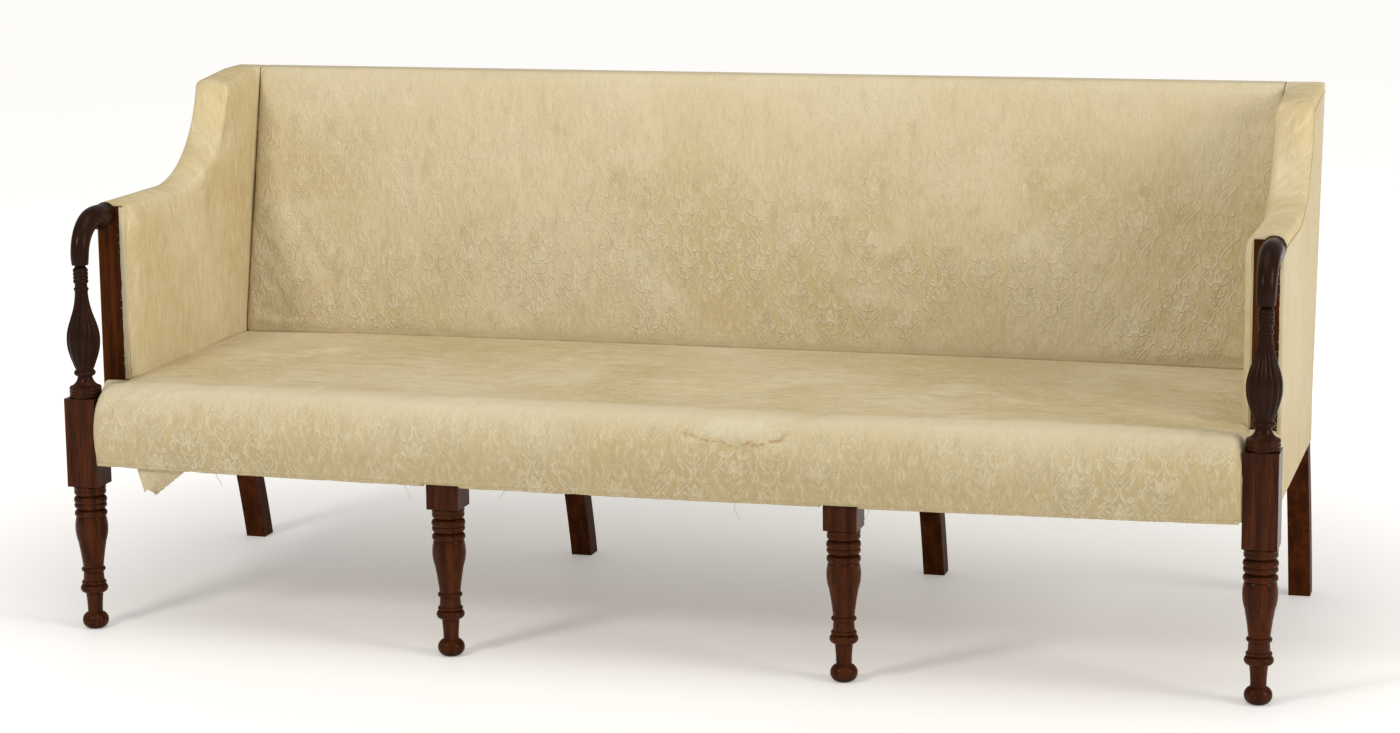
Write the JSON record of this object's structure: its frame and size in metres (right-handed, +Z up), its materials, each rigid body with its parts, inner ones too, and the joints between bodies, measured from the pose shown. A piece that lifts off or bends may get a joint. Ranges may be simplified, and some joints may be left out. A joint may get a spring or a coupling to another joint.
{
  "type": "sofa",
  "caption": "Long upholstered sofa with turned legs, reeded arm supports, bent scroll handles and swept arms; webbed, stuffed and tightly covered on a jointed wooden frame.",
  "frame": {"origin": "on the floor, under the middle of the overall box", "axes": "X along the sofa, positive at the sitter's left; Y from the front to the back; Z up"},
  "size_m": [1.995, 0.794, 0.8808],
  "materials": {
    "mahogany_turned": "polished",
    "mahogany": "polished",
    "frame_wood": "unfinished",
    "webbing": "woven",
    "hessian": "coarse woven",
    "stuffing": "matted",
    "damask": "silk damask",
    "iron": "blackened"
  },
  "bodies": {
    "root": {"arm_hessian_left": "hessian", "arm_hessian_right": "hessian", "arm_scroll_left": "mahogany_turned", "arm_scroll_right": "mahogany_turned", "arm_stile_left": "mahogany", "arm_stile_right": "mahogany", "arm_stuffing_left": "stuffing", "arm_stuffing_right": "stuffing", "arm_tack_rail_left": "frame_wood", "arm_tack_rail_right": "frame_wood", "arm_top_rail_left": "mahogany", "arm_top_rail_right": "mahogany", "back_cover": "damask", "back_hessian": "hessian", "back_stuffing": "stuffing", "back_tack_rail_left": "frame_wood", "back_tack_rail_middle": "frame_wood", "back_tack_rail_right": "frame_wood", "back_upright_left": "frame_wood", "back_upright_right": "frame_wood", "back_webbing_level": "webbing", "back_webbing_upright": "webbing", "corner_block_screws": "iron", "corner_blocks": "frame_wood", "crest_rail": "frame_wood", "front_hem": "damask", "front_leg_inner_left": "mahogany_turned", "front_leg_inner_right": "mahogany_turned", "front_post_left": "mahogany_turned", "front_post_right": "mahogany_turned", "front_seat_rail": "frame_wood", "hem_tacks": "iron", "inside_arm_cover_left": "damask", "inside_arm_cover_right": "damask", "joint_pegs": "frame_wood", "loose_cover_flap": "damask", "outside_arm_cover_left": "damask", "outside_arm_cover_right": "damask", "outside_back_cover": "damask", "rear_leg_inner_left": "mahogany", "rear_leg_inner_right": "mahogany", "rear_post_left": "mahogany", "rear_post_right": "mahogany", "rear_seat_rail": "frame_wood", "seat_brace_left": "frame_wood", "seat_brace_right": "frame_wood", "seat_cover": "damask", "seat_hessian": "hessian", "seat_stuffing": "stuffing", "seat_webbing_cross": "webbing", "seat_webbing_long": "webbing", "side_seat_rail_left": "frame_wood", "side_seat_rail_right": "frame_wood", "webbing_tacks": "iron"}
  },
  "joints": []
}
